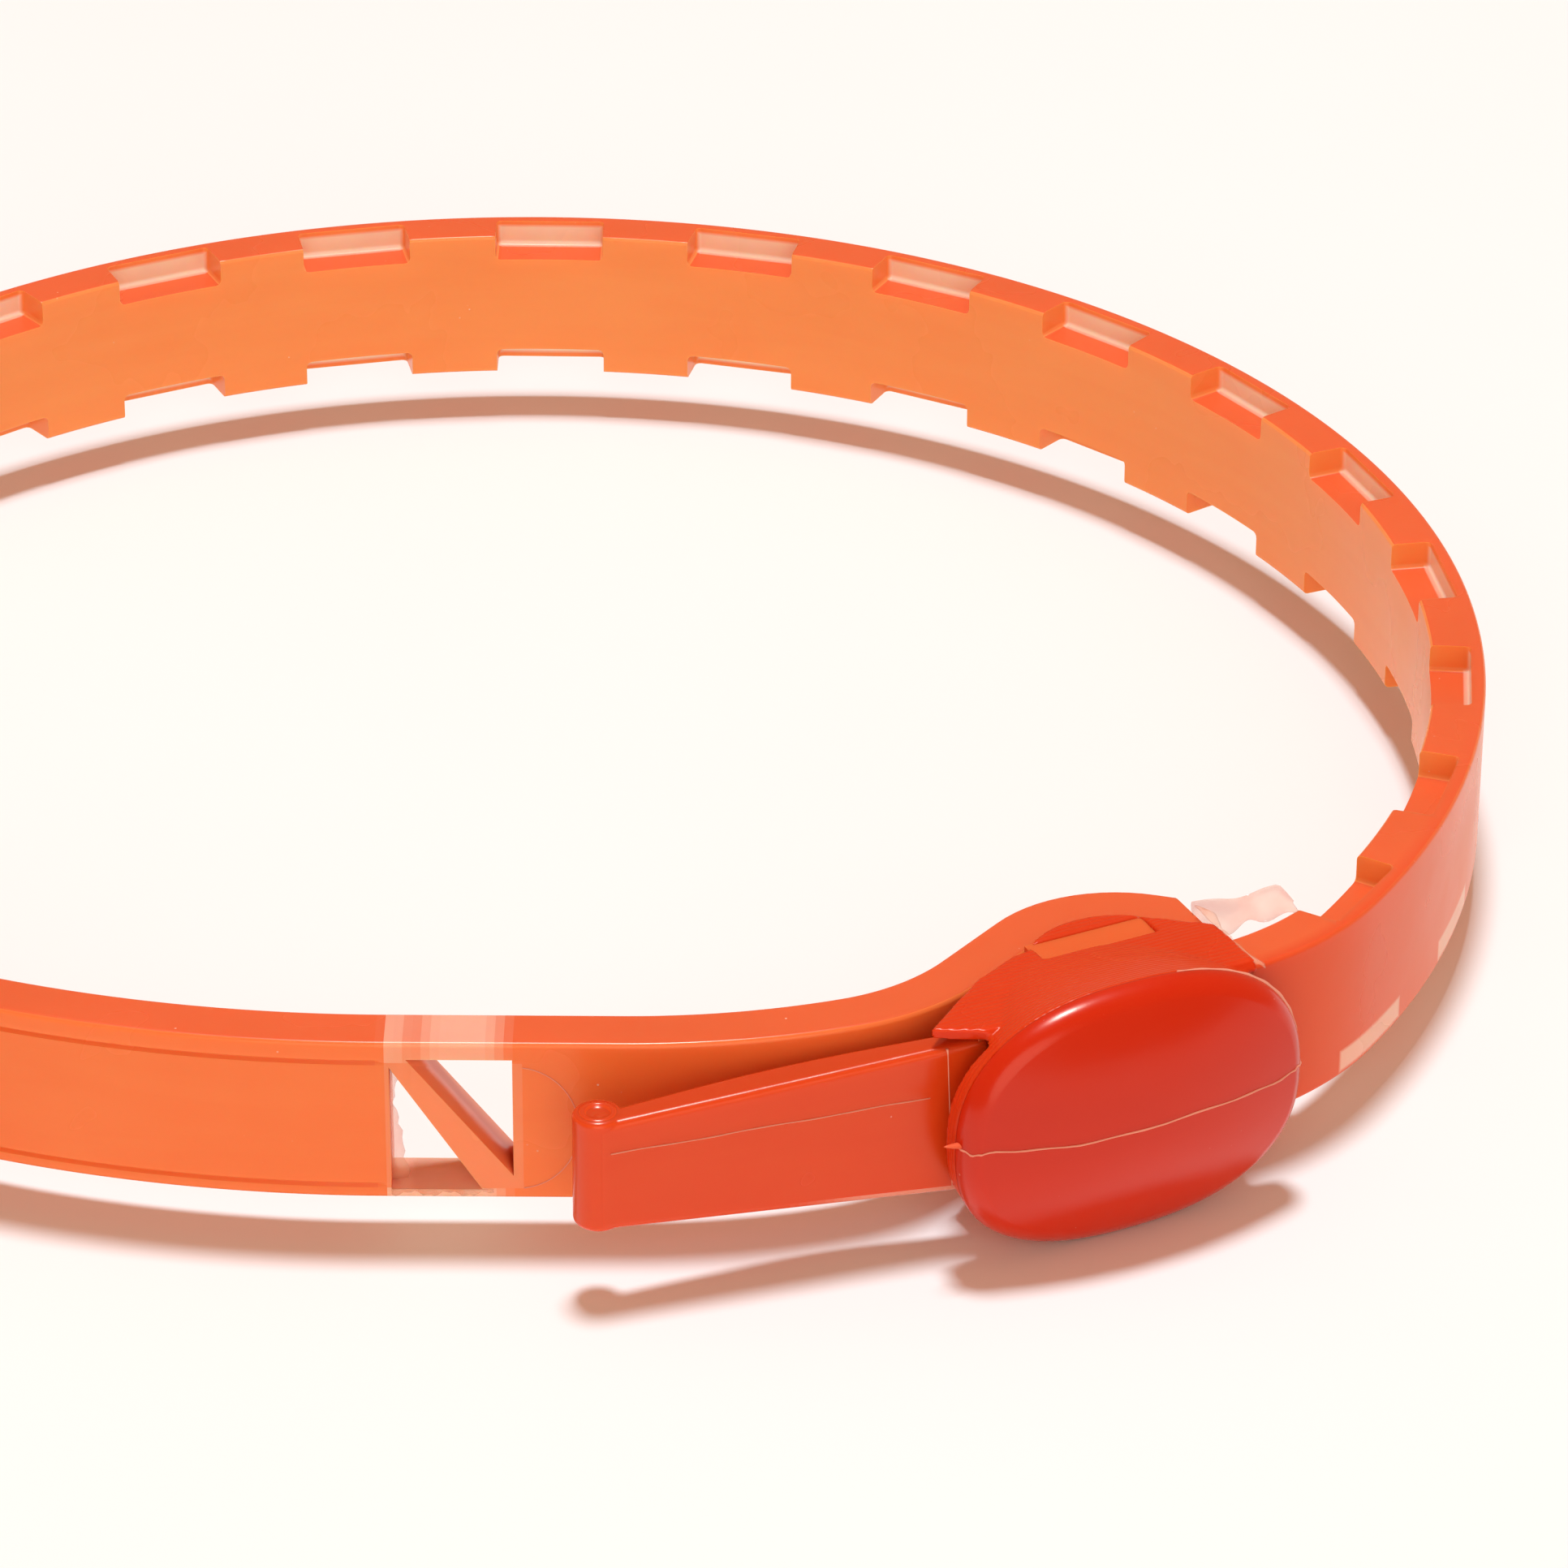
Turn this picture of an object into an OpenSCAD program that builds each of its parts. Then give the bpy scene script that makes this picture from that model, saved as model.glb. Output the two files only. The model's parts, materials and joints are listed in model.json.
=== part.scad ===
// Flexible strap lock: a plain anchor band runs into a sleeve-shaped head, and the
// notched free half of the loop passes through the head and ends in a tongue.
// +Z is up, the head is at the front right, and the origin is under the middle of
// the outline box, on the lowest level of the part.

/* [Strap] */
// Outer radius of the main loop
loop_r = 57.9; // [57.4:0.1:58.4]
// Height of the strap
strap_h = 10; // [10:0.1:10.1]
// Thickness of the strap
strap_t = 3.16; // [3:0.02:3.2]
// Angle of one notch pitch round the loop, degrees
pitch_a = 13.34; // [13.2:0.02:13.4]
// Length of one notch along the strap
notch_l = 7.1; // [6:0.1:7.4]
// Height of one notch from the strap's edge
notch_h = 1.7; // [1.2:0.1:2]
// Depth of one notch from the inner face
notch_d = 2.3; // [1.8:0.1:2.4]

/* [Window in the plain band] */
// Length of the window along the band
window_l = 6.7; // [5:0.1:7]
// Height of the window
window_h = 8.35; // [7.5:0.05:8.4]
// Thickness of the diagonal rib
rib_t = 1.2; // [0.8:0.1:1.5]

/* [Head] */
// Length of the sleeve along the strap
sleeve_l = 19; // [18.8:0.1:19.2]
// Thickness of the sleeve's top and bottom plates
plate_t = 0.75; // [0.7:0.05:0.8]
// Length of the front cover
cover_l = 21.3; // [21:0.1:21.5]
// Height of the front cover
cover_h = 16; // [16:0.1:16.2]
// Height of the cover's crown above its rim
cover_crown = 3.1; // [3:0.1:3.2]
// Wall of the front cover
cover_wall = 1.1; // [1:0.1:1.2]

/* [Lock works] */
// Radius of the pawl's pivot pin
pin_r = 0.6; // [0.5:0.05:0.65]
// Radial clearance of the pawl's bore
run_fit = 0.05; // [0.03:0.01:0.08]

/* [Tongue] */
// Height of the tongue at the barrel
tongue_tip_h = 6.8; // [6.5:0.1:7]
// Radius of the barrel at the end of the tongue
barrel_r = 1.4; // [1.3:0.05:1.5]

/* [Hidden] */
$fn = 64;

// Every second stretch of the strap is a link, a hair thinner, that enters its neighbours
skin = 0.015;
enter = 0.3;
mid_z = strap_h / 2;
orange = [0.93, 0.30, 0.10];
deep_orange = [0.87, 0.20, 0.07];
steel = [0.72, 0.73, 0.75];
clear_film = [0.97, 0.90, 0.84, 0.5];

// Height of the cover's centre above the strap's bottom edge
cover_z = 4.7;
// Level of the strap's bottom edge above the lowest level of the part
base_z = cover_h / 2 - cover_z;
// Loop centre, seen from the middle of the outline box
loop_y = -3.4;

// Flex point of the loop: on the outer face, in the middle of the third notch gap
flex_a = 102.7;
flex_gap = 0.3;
flex_half_a = flex_gap / 2 / loop_r * 180 / PI;
flex = loop_r * [cos(flex_a), sin(flex_a)];

// Plain half: a smaller arc on the left, a wide arc and a straight in front
left_r = 44;
left_a = 250;
front_r = 68.8;
front_start = (loop_r - left_r) * [-1, 0] + left_r * [cos(left_a), sin(left_a)];
front_c = front_start - front_r * [cos(left_a), sin(left_a)];
straight_x = front_c[0];
straight_y = front_c[1] - front_r;
straight_l = 13;
window_x = 0.4;
window_z = 0.6;
film_t = 0.25;
mouth_film_l = 5.4;

// S-bend of the band into the head, and the turn round the pawl chamber
ease_r = 40;
ease_a = 18;
rise_r = 13;
rise_a = 35;
rise_l = 5.2;
bulge_a = 68;
bulge_end_l = 6;

// Head: its middle lies on a circle round the flex point
head_r = 107.1;
head_a = -63.35;
strap_out_r = head_r + 1.4;
strap_in_r = strap_out_r - strap_t;
channel_in_r = strap_in_r - 0.2;
channel_out_r = head_r + 2.75;
sleeve_x1 = 7;
sleeve_x0 = sleeve_x1 - sleeve_l;
shell_n = 3.3;
gap_z = 0.2;
shell_z0 = -gap_z - plate_t;
shell_h = strap_h + 2 * (gap_z + plate_t);

// Cover: its middle along the sleeve, the squareness of its oval and its locating pins
cover_x = -1.75;
oval_e = 0.86;
flat_l = 0.28;
flat_h = 0.34;
slice_t = 0.02;
cover_gap = 0.02;
rim_t = 0.5;
boss_x = 4.6;
boss_r = 1.2;
boss_bore_r = 0.6;
cover_pin_r = 0.58;
cover_pin_l = 1.8;

// Bend between the loop and the stretch that runs concentric with the flex point
bend_r = 20;
bend_k = strap_out_r - bend_r;
bend_m = loop_r - bend_r;
bend_a0 = flex_a - 180 + acos((bend_k * bend_k - loop_r * loop_r - bend_m * bend_m)
                              / (2 * loop_r * bend_m));
bend_c = bend_m * [cos(bend_a0), sin(bend_a0)];
bend_a1 = atan2(bend_c[1] - flex[1], bend_c[0] - flex[0]);

// Stretch of the strap inside the head, concentric with the flex point
run_a = 9.2;

// Neutral radii of the three stretches and the spacing of the notches along them
loop_n = loop_r - strap_t / 2;
bend_n = bend_r - strap_t / 2;
run_n = strap_out_r - strap_t / 2;
pitch = loop_n * pitch_a * PI / 180;
plain_notches = 5;
rack_notches = 11;
loop_run = loop_n * (flex_a - bend_a0) * PI / 180;
bend_run = bend_n * (bend_a0 - bend_a1) * PI / 180;
rack_end_a = bend_a1 - run_a;

// Chamber of the pawl, in the bulge of the plain band
bulge_x = 0.5;
bulge_n = -1.75;
bulge_mid_r = 7;
plan_in_n = -9;
slot_x = -3.2;
slot_n = -5.7;
slot_l = 7;
slot_w = 2;
pawl_x = -3.4;
pawl_n = -3.9;
pawl_play = 0.2;
pawl_h = strap_h - 2 * pawl_play;
pawl_hub_r = 1.5;
pawl_arm_t = 1.1;
pawl_arm_l = 8.3;
tooth_x = 5;
tooth_l = 3.3;
tooth_h = notch_h - 0.3;
bush_wall = 0.3;
spring_r = 5.05;
spring_t = 0.25;
spring_h = 4;
spring_end_a = -62;
rivet_r = 0.6;
rivet_h = 0.3;

// Pressure pad in its pocket under the cover
pad_l = 4.8;
pad_h = 3.8;
pad_t = 0.95;
pad_gap = 0.15;
pad_n = 2.85;
pad_spring_r = 1.3;
pad_spring_h = 0.7;

// Tongue: straight outer face from the sleeve's left end to the barrel
tongue_a = 17.9;
barrel_pos = [6.44, -49.83];
tongue_l = 21.2;
tongue_t = 2.2;
plug_r = 0.95;
plug_l = 1;

function oval(l, h, n, e) = [for (i = [0:n - 1]) let (a = 360 * i / n, c = cos(a), s = sin(a))
    [l / 2 * sign(c) * pow(abs(c), e), h / 2 * sign(s) * pow(abs(s), e)]];

// Everything is drawn round the loop's centre, on the strap's bottom edge
module placed() {
    translate([0, loop_y, base_z])
        children();
}

// Local frame of the head: X along the strap to the right, Y outward from the loop
module at_head() {
    translate([flex[0], flex[1], 0])
        rotate([0, 0, head_a])
            translate([head_r, 0, 0])
                rotate([0, 0, 90])
                    mirror([0, 1, 0])
                        children();
}

// Ring sector round the origin, given by its radii, angles and levels
module sector(r0, r1, a0, a1, z0, z1) {
    rotate([0, 0, a0])
        rotate_extrude(angle = a1 - a0, $fn = 180)
            translate([r0, z0])
                square([r1 - r0, z1 - z0]);
}

// Stretch of strap round the origin, and one that links its two neighbours
module stretch(r, a0, a1) {
    sector(r - strap_t, r, a0, a1, 0, strap_h);
}

module link(r, a0, a1) {
    more = enter / r * 180 / PI;
    sector(r - strap_t + skin, r - skin, a0 - more, a1 + more, skin, strap_h - skin);
}

// One pair of notches, cut into the top and bottom edges from the inner face
module notch_pair() {
    for (z = [-1, strap_h - notch_h])
        translate([-strap_t - 1, -notch_l / 2, z])
            cube([notch_d + 1, notch_l, notch_h + 1]);
}

// Notch pair at a distance s along the neutral line, clockwise from the flex point
module notch_at(s) {
    if (s < loop_run)
        rotate([0, 0, flex_a - s / loop_n * 180 / PI])
            translate([loop_r, 0, 0])
                notch_pair();
    else if (s < loop_run + bend_run)
        translate([bend_c[0], bend_c[1], 0])
            rotate([0, 0, bend_a0 - (s - loop_run) / bend_n * 180 / PI])
                translate([bend_r, 0, 0])
                    notch_pair();
    else
        translate([flex[0], flex[1], 0])
            rotate([0, 0, bend_a1 - (s - loop_run - bend_run) / run_n * 180 / PI])
                translate([strap_out_r, 0, 0])
                    notch_pair();
}

// Pieces of the front band, each drawn from its start on the strap's middle line
module straight_bar(l) {
    translate([0, -strap_t / 2, 0])
        cube([l, strap_t, strap_h]);
}

module straight_link(l) {
    translate([-enter, skin - strap_t / 2, skin])
        cube([l + 2 * enter, strap_t - 2 * skin, strap_h - 2 * skin]);
}

// Moves on to the end of a left turn of radius r
module turned(r, a) {
    translate([r * sin(a), r * (1 - cos(a)), 0])
        rotate([0, 0, a])
            children();
}

// Window with its diagonal rib, at the left end of the straight stretch
module window_cut() {
    translate([window_x, -strap_t, window_z])
        difference() {
            cube([window_l, 2 * strap_t, window_h]);
            translate([0, 0, window_h])
                rotate([0, atan2(window_h, window_l - rib_t / 2), 0])
                    translate([-2, -1, -rib_t / 2])
                        cube([20, 4 * strap_t, rib_t]);
        }
}

// Straight stretch with the window, then the S-bend into the head's bulge
module front_band() {
    translate([straight_x, straight_y + strap_t / 2, 0]) {
        difference() {
            straight_link(straight_l);
            window_cut();
        }
        translate([straight_l, 0, 0]) {
            translate([0, ease_r, 0])
                stretch(ease_r + strap_t / 2, -90, ease_a - 90);
            turned(ease_r, ease_a) {
                translate([0, rise_r, 0])
                    link(rise_r + strap_t / 2, -90, rise_a - 90);
                turned(rise_r, rise_a) {
                    straight_bar(rise_l);
                    translate([rise_l, -bulge_mid_r, 0]) {
                        link(bulge_mid_r + strap_t / 2, 90 - bulge_a, 90);
                        rotate([0, 0, -bulge_a])
                            translate([0, bulge_mid_r, 0])
                                straight_bar(bulge_end_l);
                    }
                }
            }
        }
    }
}

module anchor_band() {
    color(orange)
        placed()
            difference() {
                union() {
                    stretch(loop_r, flex_a + flex_half_a, 180);
                    translate([left_r - loop_r, 0, 0])
                        link(left_r, 180, left_a);
                    translate([front_c[0], front_c[1], 0])
                        stretch(front_r, left_a, 270);
                    front_band();
                }
                for (k = [0:plain_notches])
                    notch_at(-k * pitch);
                at_head()
                    translate([sleeve_x1, -12, -1])
                        cube([10, 12, strap_h + 2]);
            }
}

// Outline of the sleeve's plates, between the bulge and the outer wall
module sleeve_plan() {
    intersection() {
        union() {
            translate([bulge_x, bulge_n])
                circle(r = bulge_mid_r - strap_t / 2 - 0.05, $fn = 90);
            polygon([[sleeve_x1, -2.9], [sleeve_x1, shell_n], [-9, shell_n], [sleeve_x0, 0.6],
                     [-9.8, -1.7], [-7.4, -3.65], [-4.6, -4.6], [4.1, -5.45]]);
        }
        translate([sleeve_x0, plan_in_n])
            square([sleeve_l, shell_n - plan_in_n]);
    }
}

module cover_outline() {
    polygon(oval(cover_l, cover_h, 48, oval_e));
}

// Lays a drawing of X along the strap and Y up onto the plane at distance n outward
module facing_out(n) {
    translate([cover_x, n, cover_z])
        rotate([90, 0, 0])
            mirror([0, 0, 1])
                children();
}

module head_shell() {
    color(orange)
        placed() {
            difference() {
                at_head() {
                    translate([0, 0, shell_z0])
                        linear_extrude(shell_h)
                            sleeve_plan();
                    intersection() {
                        facing_out(-1)
                            linear_extrude(shell_n + 1)
                                cover_outline();
                        translate([sleeve_x0, -2, -strap_h])
                            cube([sleeve_l, 2 * shell_n + 2, 3 * strap_h]);
                    }
                    facing_out(shell_n - rim_t)
                        linear_extrude(rim_t)
                            cover_outline();
                }
                translate([flex[0], flex[1], 0])
                    sector(channel_in_r, channel_out_r, head_a - 12, head_a + 12,
                           -gap_z, strap_h + gap_z);
                at_head() {
                    translate([sleeve_x0 - 1, plan_in_n, 0])
                        cube([sleeve_l + 2, -0.5 - plan_in_n, strap_h]);
                    translate([slot_x, slot_n, shell_z0 - 1])
                        cube([slot_l, slot_w, shell_h + 2]);
                    translate([cover_x - pad_l / 2 - pad_gap, 2, cover_z - pad_h / 2 - pad_gap])
                        cube([pad_l + 2 * pad_gap, 3, pad_h + 2 * pad_gap]);
                    for (x = [-boss_x, boss_x])
                        translate([cover_x + x, 2, cover_z])
                            rotate([-90, 0, 0])
                                cylinder(r = boss_bore_r, h = 3);
                }
            }
        }
}

// Domed cover: thin slices of the oval, joined by one hull
module dome(l, h, crown) {
    hull()
        for (i = [0:5])
            let (a = 15 * i)
                translate([0, 0, crown * sin(a)])
                    linear_extrude(slice_t)
                        polygon(oval(l * (1 - flat_l + flat_l * cos(a)), h * (1 - flat_h + flat_h * cos(a)),
                                     40, oval_e));
}

module front_cover() {
    color(deep_orange)
        placed()
            at_head()
                facing_out(shell_n + cover_gap) {
                    difference() {
                        dome(cover_l, cover_h, cover_crown);
                        translate([0, 0, -0.01])
                            dome(cover_l - 2 * cover_wall, cover_h - 2 * cover_wall, cover_crown - cover_wall);
                    }
                    for (x = [-boss_x, boss_x])
                        translate([x, 0, 0])
                            difference() {
                                cylinder(r = boss_r, h = cover_crown - 0.5);
                                translate([0, 0, -1])
                                    cylinder(r = boss_bore_r, h = cover_pin_l + 0.6);
                            }
                }
}

module cover_pins() {
    color(steel)
        placed()
            at_head()
                for (x = [-boss_x, boss_x])
                    translate([cover_x + x, shell_n - rim_t, cover_z])
                        rotate([-90, 0, 0])
                            cylinder(r = cover_pin_r, h = cover_pin_l);
}

module pawl_pin() {
    color(steel)
        placed()
            at_head()
                translate([pawl_x, pawl_n, 0])
                    cylinder(r = pin_r, h = strap_h);
}

// Leaf spring behind the pawl, bent from one strip
module pawl_spring() {
    color(steel)
        placed()
            at_head() {
                translate([bulge_x, bulge_n, mid_z - spring_h / 2])
                    sector(spring_r, spring_r + spring_t, -125, spring_end_a, 0, spring_h);
                translate([bulge_x, bulge_n, mid_z - spring_h / 2])
                    rotate([0, 0, spring_end_a])
                        translate([spring_r, 0, 0])
                            rotate([0, 0, 150])
                                translate([-spring_t, 0, 0])
                                    cube([2 * spring_t, 1.1, spring_h]);
            }
}

module spring_rivet() {
    color(steel)
        placed()
            at_head()
                translate([bulge_x, bulge_n, mid_z])
                    rotate([0, 90, -112])
                        translate([0, 0, spring_r - rivet_h - 0.06])
                            cylinder(r = rivet_r, h = rivet_h);
}

// Return spring of the pressure pad, drawn as a closed sleeve
module pad_spring() {
    color(steel)
        placed()
            at_head()
                facing_out(shell_n + 0.55)
                    difference() {
                        cylinder(r = pad_spring_r, h = pad_spring_h);
                        translate([0, 0, -1])
                            cylinder(r = pad_spring_r - 0.4, h = 3);
                    }
}

module spring_seat() {
    color(deep_orange)
        placed()
            at_head()
                facing_out(shell_n + 0.55 + pad_spring_h)
                    cylinder(r = pad_spring_r + 0.3, h = pad_spring_h);
}

module window_film() {
    color(clear_film)
        placed()
            translate([straight_x + window_x + 0.02, straight_y + 0.6, window_z + 0.02])
                cube([film_t, strap_t / 2, window_h - 1.7]);
}

module mouth_film() {
    color(clear_film)
        placed()
            at_head()
                translate([sleeve_x1 + 0.02, -4.6, strap_h - 1.6])
                    rotate([0, 0, 6])
                        cube([mouth_film_l, film_t, 2]);
}

module rack_strap() {
    color(orange)
        placed()
            difference() {
                union() {
                    stretch(loop_r, bend_a0, flex_a - flex_half_a);
                    translate([bend_c[0], bend_c[1], 0])
                        link(bend_r, bend_a1, bend_a0);
                    translate([flex[0], flex[1], 0])
                        stretch(strap_out_r, rack_end_a, bend_a1);
                }
                for (k = [0:rack_notches])
                    notch_at(k * pitch);
            }
}

// Tongue: a wedge that loses height towards the barrel
module strap_tongue() {
    color(deep_orange)
        placed()
            translate([barrel_pos[0], barrel_pos[1], 0])
                difference() {
                    union() {
                        translate([0, 0, mid_z - tongue_tip_h / 2])
                            cylinder(r = barrel_r, h = tongue_tip_h);
                        rotate([0, 0, tongue_a])
                            translate([0, -barrel_r, 0])
                                rotate([-90, 0, 0])
                                    linear_extrude(tongue_t)
                                        polygon([[0, -mid_z - tongue_tip_h / 2],
                                                 [tongue_l, -strap_h + 0.1],
                                                 [tongue_l, -0.1],
                                                 [0, -mid_z + tongue_tip_h / 2]]);
                    }
                    translate([0, 0, mid_z + tongue_tip_h / 2 - plug_l])
                        cylinder(r = plug_r + 0.01, h = plug_l + 1);
                }
}

module tongue_rivets() {
    color(steel)
        placed()
            translate([barrel_pos[0], barrel_pos[1], mid_z])
                rotate([0, 0, tongue_a])
                    translate([tongue_l - 3.7, -barrel_r + 0.3, 0])
                        rotate([-90, 0, 0])
                            cylinder(r = rivet_r, h = 1.5);
}

module barrel_pin() {
    color(deep_orange)
        placed()
            translate([barrel_pos[0], barrel_pos[1], mid_z + tongue_tip_h / 2 - plug_l])
                cylinder(r = plug_r, h = plug_l + 0.1);
}

// Pawl: a thin arm with a pair of teeth that fit the notches
module lock_pawl() {
    color(deep_orange)
        placed()
            at_head()
                difference() {
                    union() {
                        translate([pawl_x, pawl_n, pawl_play])
                            cylinder(r = pawl_hub_r, h = pawl_h);
                        translate([pawl_x, pawl_n - pawl_arm_t, pawl_play])
                            cube([pawl_arm_l, pawl_arm_t, pawl_h]);
                        for (z = [pawl_play, pawl_play + pawl_h - tooth_h])
                            translate([pawl_x + tooth_x, pawl_n - 0.2, z])
                                cube([tooth_l, 1.85, tooth_h]);
                    }
                    translate([pawl_x, pawl_n, -1])
                        cylinder(r = pin_r + run_fit + bush_wall, h = strap_h + 2);
                }
}

module pawl_bush() {
    color(steel)
        placed()
            at_head()
                translate([pawl_x, pawl_n, pawl_play])
                    difference() {
                        cylinder(r = pin_r + run_fit + bush_wall - 0.01, h = pawl_h);
                        translate([0, 0, -1])
                            cylinder(r = pin_r + run_fit, h = pawl_h + 2);
                    }
}

// Lug under the top window, where the pawl is pushed back by hand
module release_lug() {
    color(orange)
        placed()
            at_head()
                translate([pawl_x + 1.8, pawl_n - pawl_arm_t - 0.35, mid_z - 0.8])
                    cube([4.6, 0.33, 5.5]);
}

module pressure_pad() {
    color(deep_orange)
        placed()
            at_head()
                translate([cover_x - pad_l / 2, pad_n, cover_z - pad_h / 2])
                    cube([pad_l, pad_t, pad_h]);
}

module pad_facing() {
    color(orange)
        placed()
            at_head()
                translate([cover_x - 2, pad_n - 0.1, cover_z - 1.5])
                    cube([4, 0.09, 3]);
}

anchor_band();
head_shell();
front_cover();
cover_pins();
pawl_pin();
pawl_spring();
spring_rivet();
pad_spring();
spring_seat();
window_film();
mouth_film();
rack_strap();
strap_tongue();
tongue_rivets();
barrel_pin();
lock_pawl();
pawl_bush();
release_lug();
pressure_pad();
pad_facing();
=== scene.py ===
"""Looks of the flexible strap lock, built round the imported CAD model."""
import json
import math

import bmesh
import bpy
import numpy as np
from mathutils import Matrix, Vector


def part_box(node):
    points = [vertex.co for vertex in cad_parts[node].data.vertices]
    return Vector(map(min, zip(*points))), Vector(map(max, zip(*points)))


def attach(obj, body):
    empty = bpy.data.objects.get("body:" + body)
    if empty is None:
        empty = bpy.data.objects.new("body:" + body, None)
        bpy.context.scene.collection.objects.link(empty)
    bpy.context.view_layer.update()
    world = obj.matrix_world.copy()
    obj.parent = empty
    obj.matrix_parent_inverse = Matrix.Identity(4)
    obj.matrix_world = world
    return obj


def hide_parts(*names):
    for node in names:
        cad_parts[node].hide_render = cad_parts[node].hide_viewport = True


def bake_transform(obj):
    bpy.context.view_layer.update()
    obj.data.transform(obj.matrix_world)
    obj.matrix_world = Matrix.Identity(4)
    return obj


MM = 0.001

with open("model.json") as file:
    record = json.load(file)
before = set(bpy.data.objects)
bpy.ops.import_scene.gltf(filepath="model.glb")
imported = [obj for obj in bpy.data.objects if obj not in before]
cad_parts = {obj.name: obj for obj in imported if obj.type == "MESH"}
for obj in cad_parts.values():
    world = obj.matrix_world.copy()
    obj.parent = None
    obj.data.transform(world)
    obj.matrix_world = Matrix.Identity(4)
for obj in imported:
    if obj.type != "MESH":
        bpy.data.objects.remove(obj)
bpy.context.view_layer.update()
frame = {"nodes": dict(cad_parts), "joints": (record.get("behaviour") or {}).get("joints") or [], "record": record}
joints = {j["name"]: j for j in frame["joints"]}

# Sizes that the looks share with the CAD model, in millimetres and degrees
BAND_LOW, BAND_HIGH = (v.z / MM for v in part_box("anchor_band"))
STRAP_T = 3.16
LOOP_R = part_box("rack_strap")[1].x / MM
FLEX = Vector(joints["strap_swing"]["pos_m"]) / MM
LOOP_C = Vector((0.0, FLEX.y - math.sqrt(LOOP_R ** 2 - FLEX.x ** 2), 0.0))
PITCH = (LOOP_R - STRAP_T / 2) * math.radians(13.34)
BEND_R = 20.0
NOTCH_L, NOTCH_H, NOTCH_D = 7.1, 1.7, 2.3
FLEX_A = math.degrees(math.atan2(FLEX.y - LOOP_C.y, FLEX.x))
HEAD_R, HEAD_A = 107.1, -63.35
OUT_R = HEAD_R + 1.4
MID_Z = (BAND_LOW + BAND_HIGH) / 2
COVER_Z = MID_Z - 0.3
COVER_L, COVER_H, COVER_X, COVER_E = 21.3, 16.0, -1.75, 0.84
MOUTH_X = 7.0
SHELL_N = 3.3


def polar(r, a):
    return Vector((r * math.cos(math.radians(a)), r * math.sin(math.radians(a)), 0.0))


NORMAL = polar(1, HEAD_A)
ALONG = polar(1, HEAD_A + 90)
HEAD = FLEX.to_2d().to_3d() + NORMAL * HEAD_R


def at_head(u, n, z):
    """Point of the head: u along the strap, n outward, z above the resting level."""
    return HEAD + ALONG * u + NORMAL * n + Vector((0, 0, z))


# ---------------------------------------------------------------- materials
def nodes_of(name):
    mat = bpy.data.materials.new(name)
    mat.use_nodes = True
    tree = mat.node_tree
    return mat, tree, tree.nodes["Principled BSDF"]


def add(tree, kind, **values):
    node = tree.nodes.new(kind)
    for key, value in values.items():
        if key.startswith("in_"):
            node.inputs[key[3:].replace("_", " ")].default_value = value
        else:
            setattr(node, key, value)
    return node


def ramp(tree, source, stops):
    node = tree.nodes.new("ShaderNodeValToRGB")
    tree.links.new(source, node.inputs[0])
    while len(node.color_ramp.elements) < len(stops):
        node.color_ramp.elements.new(0.5)
    for element, (at, colour) in zip(node.color_ramp.elements, stops):
        element.position = at
        element.color = (*colour, 1)
    return node.outputs["Color"]


def mix(tree, factor, a, b, how="MIX"):
    node = tree.nodes.new("ShaderNodeMix")
    node.data_type = "RGBA"
    node.blend_type = how
    for socket, value in ((node.inputs["Factor"], factor), (node.inputs["A"], a), (node.inputs["B"], b)):
        if hasattr(value, "links"):
            tree.links.new(value, socket)
        elif isinstance(value, tuple):
            socket.default_value = (*value, 1)
        else:
            socket.default_value = value
    return node.outputs["Result"]


def calc(tree, how, a, b=0.0, c=0.0):
    node = tree.nodes.new("ShaderNodeMath")
    node.operation = how
    for socket, value in zip(node.inputs, (a, b, c)):
        if hasattr(value, "links"):
            tree.links.new(value, socket)
        else:
            socket.default_value = value
    return node.outputs[0]


def value_of(tree, name):
    return add(tree, "ShaderNodeAttribute", attribute_name=name).outputs["Fac"]


def noise(tree, where, scale, detail=3.0, distort=0.0, stretch=None):
    node = add(tree, "ShaderNodeTexNoise", in_Scale=scale, in_Detail=detail, in_Distortion=distort)
    if stretch:
        mapping = add(tree, "ShaderNodeMapping", in_Scale=stretch)
        tree.links.new(where, mapping.inputs["Vector"])
        where = mapping.outputs[0]
    tree.links.new(where, node.inputs["Vector"])
    return node.outputs[0]


BLACK, WHITE = (0, 0, 0), (1, 1, 1)
# PALE: painted colour of light shining through thin plastic
PALE = (1.0, 0.80, 0.62)
SPECK = (1.0, 0.72, 0.55)
# Colour of the painted shade on the strap's outer face next to the head
HEAD_SHADE_COLOUR = (0.76, 0.085, 0.022)
LOW_SHADE, HIGH_SHADE, OUTER_SHADE = (0.96, 0.86, 0.80), (1.02, 1.16, 1.24), (0.80, 0.38, 0.45)
SCATTER = (1.0, 0.30, 0.14)
SHINE_TINT = (1.0, 0.72, 0.60)
PITCH_ZERO = 50.5
# Where along the strap, in pitches, the painted shade next to the head begins, and how fast it deepens
HEAD_SHADE_START, HEAD_SHADE_RATE = PITCH_ZERO + 8.0, 0.33


def scaled(colour, factors):
    return tuple(min(1.0, v * f) for v, f in zip(colour, factors))


def bump(tree, height, strength, distance_mm, under=None):
    """Bump by a height; under is the normal that it is laid on."""
    node = add(tree, "ShaderNodeBump", in_Strength=strength, in_Distance=distance_mm * MM)
    tree.links.new(height, node.inputs["Height"])
    if under is not None:
        tree.links.new(under, node.inputs["Normal"])
    return node.outputs[0]


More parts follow.
